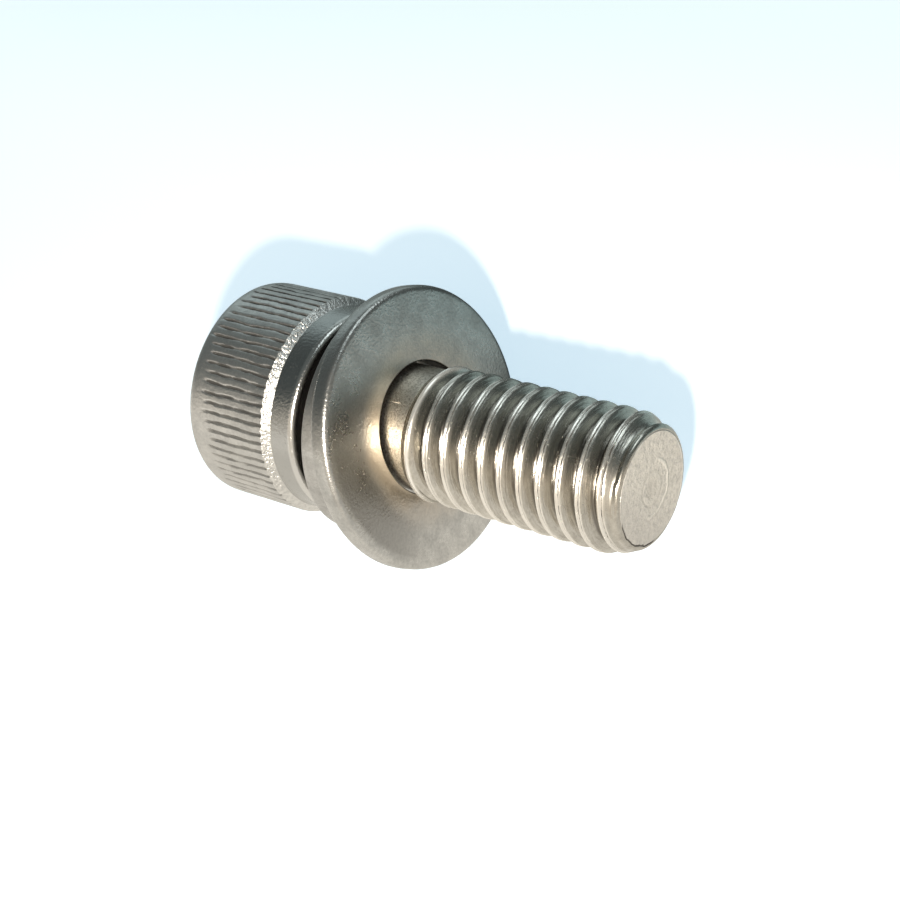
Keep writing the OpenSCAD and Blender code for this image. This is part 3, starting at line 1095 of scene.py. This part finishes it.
lowest = min(v.co.dot(FLOOR_UP) for made in (screw, spring, flat) for v in made.data.vertices)
floor_side = FLOOR_UP.cross(Vector((0, 0, 1))).normalized()
floor_far = FLOOR_UP.cross(floor_side).normalized()
floor_middle = FLOOR_UP * (lowest - FLOOR_GAP)
floor_corners = [
    floor_middle + (floor_side * a + floor_far * b) * FLOOR_HALF
    for a, b in ((-1, -1), (1, -1), (1, 1), (-1, 1))
]
floor_mesh = bpy.data.meshes.new("white_floor")
floor_mesh.from_pydata([tuple(p) for p in floor_corners], [], [(0, 1, 2, 3)])
if floor_mesh.polygons[0].normal.dot(FLOOR_UP) < 0:
    floor_mesh.flip_normals()
floor = bpy.data.objects.new("white_floor", floor_mesh)
scene.collection.objects.link(floor)
print("floor", round((FLOOR_GAP - lowest) / MM, 2), "mm below the origin")

# %% [markdown]
# ### Look of the floor
# The camera sees a white surface that takes the lamp's light and shadow, with a cool glow for the light of
# the sky, and that fades to plain white far off. The metal sees something else: a real room
# reflects unevenly, and a floor that is white everywhere would wash the metal out. So reflected rays
# find a glow that is warm and bright in front, dimmer to the right and far behind, and dark in the screw's
# own shadow. From behind the floor is clear, so that views from every side stay open.

# %% Floor helpers
FLOOR_WHITE = (0.80, 0.77, 0.72)
SKY_NEAR = (0.45, 0.61, 0.73)
SKY_FAR = (0.31, 0.48, 0.55)
PLAIN_WHITE = (1.0, 1.0, 1.0)
MIRROR_FRONT = (0.95, 0.9, 0.81)
MIRROR_RIGHT = (0.75, 0.72, 0.66)
MIRROR_BEHIND = (0.2, 0.235, 0.23)
MIRROR_FAR_RIGHT = (0.37, 0.49, 0.5)
MIRROR_SHADOW = (0.06, 0.075, 0.075)
SCREW_MIDDLE = Vector((0, 0, 12))

floor_look = bpy.data.materials.new("white_floor")
floor_look.use_nodes = True
floor_tree = floor_look.node_tree
floor_tree.nodes.remove(floor_tree.nodes["Principled BSDF"])
floor_place = floor_tree.nodes.new("ShaderNodeNewGeometry")


def floor_way(direction):
    """Millimetres along a direction on the floor, from below the middle of the screw."""
    node = floor_tree.nodes.new("ShaderNodeVectorMath")
    node.operation = "DOT_PRODUCT"
    floor_tree.links.new(floor_place.outputs["Position"], node.inputs[0])
    node.inputs[1].default_value = direction / MM
    return Wire(floor_tree, node.outputs["Value"]) - (floor_middle / MM + SCREW_MIDDLE).dot(direction)


def floor_mix(factor, first, second):
    """Goes from the first shader to the second as the factor goes from 0 to 1."""
    node = floor_tree.nodes.new("ShaderNodeMixShader")
    for socket, source in zip(node.inputs, (factor.socket, first, second)):
        floor_tree.links.new(source, socket)
    return node.outputs[0]


def glow(colour):
    """A shader that shines with a colour, where 1 is white."""
    node = floor_tree.nodes.new("ShaderNodeEmission")
    node.inputs["Color"].default_value = (*colour, 1.0)
    return node.outputs[0]


# %% Floor look
up_picture = floor_way(EYE_UP)
to_right = floor_way(EYE_RIGHT)
distance = (up_picture * up_picture + to_right * to_right).op("SQRT")

diffuse = floor_tree.nodes.new("ShaderNodeBsdfDiffuse")
diffuse.inputs["Color"].default_value = (*FLOOR_WHITE, 1.0)
far_away = (up_picture + to_right * 0.45).fade(12.0, 44.0)
with_sky = floor_tree.nodes.new("ShaderNodeAddShader")
floor_tree.links.new(diffuse.outputs[0], with_sky.inputs[0])
floor_tree.links.new(floor_mix(far_away, glow(SKY_NEAR), glow(SKY_FAR)), with_sky.inputs[1])
seen = floor_mix(distance.fade(50.0, 85.0), with_sky.outputs[0], glow(PLAIN_WHITE))

own_shadow = up_picture.band(0.0, 5.0, 20.0, 28.0) * to_right.band(-3.0, 3.0, 13.0, 18.0)
own_shadow = own_shadow.high(up_picture.fade(16.0, 26.0) * to_right.fade(2.0, 10.0))
reflection = glow(MIRROR_FRONT)
for mask, colour in (
    (to_right.fade(3.0, 18.0) * up_picture.fade(-90.0, -30.0), MIRROR_RIGHT),
    (up_picture.fade(4.0, 25.0), MIRROR_BEHIND),
    (up_picture.fade(2.0, 12.0) * to_right.fade(5.0, 20.0), MIRROR_FAR_RIGHT),
    (own_shadow, MIRROR_SHADOW),
):
    reflection = floor_mix(mask, reflection, glow(colour))

rays = floor_tree.nodes.new("ShaderNodeLightPath").outputs
mirrored = Wire(floor_tree, rays["Is Glossy Ray"]).high(Wire(floor_tree, rays["Is Transmission Ray"]))
lit = floor_mix(Wire(floor_tree, rays["Is Camera Ray"]), diffuse.outputs[0], seen)
lit = floor_mix(mirrored, lit, reflection)
clear = floor_tree.nodes.new("ShaderNodeBsdfTransparent").outputs[0]
one_sided = floor_mix(Wire(floor_tree, floor_place.outputs["Backfacing"]), lit, clear)
floor_tree.links.new(one_sided, floor_tree.nodes["Material Output"].inputs["Surface"])
floor_mesh.materials.append(floor_look)
print("floor look:", len(floor_tree.nodes), "nodes")

# %% [markdown]
# ## Light
# One small warm lamp stands close under the camera and a little to its left, which throws the crisp shadow
# up and behind. It could stand alone, but metal mostly shows what is round it, so the room matters more.
# The room is dim and cool, so that the upper side of the metal goes dark. Five parts of it are brighter: all
# that lies low, the ceiling behind, a wall low on the left, the wall round the lamp, and a window high on
# the right. The camera itself finds plain white beyond the floor.

# %% Lamp
TO_LAMP = (EYE_BACK - EYE_RIGHT * 0.063 - EYE_UP * 0.192).normalized()
LAMP_AIM = Vector((0, 0, 14)) * MM
LAMP_AWAY = 104 * MM
LAMP_SIZE = 4 * MM
LAMP_ENERGY = 0.113

lamp_data = bpy.data.lights.new("warm_lamp", "AREA")
lamp_data.shape = "DISK"
lamp_data.size = LAMP_SIZE
lamp_data.energy = LAMP_ENERGY
lamp_data.color = (1.0, 0.93, 0.83)
lamp = bpy.data.objects.new("warm_lamp", lamp_data)
lamp.location = LAMP_AIM + TO_LAMP * LAMP_AWAY
lamp.rotation_mode = "QUATERNION"
lamp.rotation_quaternion = (-TO_LAMP).to_track_quat("-Z", "Y")
scene.collection.objects.link(lamp)
print("lamp energy", LAMP_ENERGY)

# %% Room
TO_WINDOW = (EYE_RIGHT * 0.5 + EYE_UP * 0.72 + EYE_BACK * 0.42).normalized()
ROOM_DIM = (0.1, 0.115, 0.115)
ROOM_PATCHES = (
    (-EYE_UP, -0.2, 0.3, (0.78, 0.71, 0.61)),
    (EYE_UP * 0.8 - EYE_BACK * 0.6, 0.65, 0.92, (0.52, 0.62, 0.63)),
    (EYE_RIGHT * -0.8 - EYE_UP * 0.6, 0.88, 0.98, (1.2, 1.14, 1.04)),
    (TO_LAMP, 0.92, 0.98, (1.3, 1.2, 1.05)),
    (TO_WINDOW, 0.95, 0.98, (1.5, 1.7, 1.75)),
)

room = bpy.data.worlds.new("studio_room")
scene.world = room
room.use_nodes = True
room_tree = room.node_tree
room_tree.nodes.clear()
heading = room_tree.nodes.new("ShaderNodeTexCoord").outputs["Generated"]


def facing(direction):
    """How far a ray points towards a direction, from -1 to 1."""
    node = room_tree.nodes.new("ShaderNodeVectorMath")
    node.operation = "DOT_PRODUCT"
    room_tree.links.new(heading, node.inputs[0])
    node.inputs[1].default_value = direction
    return Wire(room_tree, node.outputs["Value"])


walls = ROOM_DIM
for direction, start, full, colour in ROOM_PATCHES:
    walls = mix_colours(room_tree, facing(direction).fade(start, full), walls, colour)
inside = room_tree.nodes.new("ShaderNodeBackground")
room_tree.links.new(walls, inside.inputs["Color"])
outside = room_tree.nodes.new("ShaderNodeBackground")
outside.inputs["Color"].default_value = (*PLAIN_WHITE, 1.0)
choose = room_tree.nodes.new("ShaderNodeMixShader")
is_camera = room_tree.nodes.new("ShaderNodeLightPath").outputs["Is Camera Ray"]
for socket, source in zip(choose.inputs, (is_camera, inside.outputs[0], outside.outputs[0])):
    room_tree.links.new(source, socket)
room_out = room_tree.nodes.new("ShaderNodeOutputWorld")
room_tree.links.new(choose.outputs[0], room_out.inputs["Surface"])
scene.view_settings.view_transform = "Standard"
print("room patches:", len(ROOM_PATCHES))

# %% [markdown]
# ## Closing

# %% Finish
print("scene built")
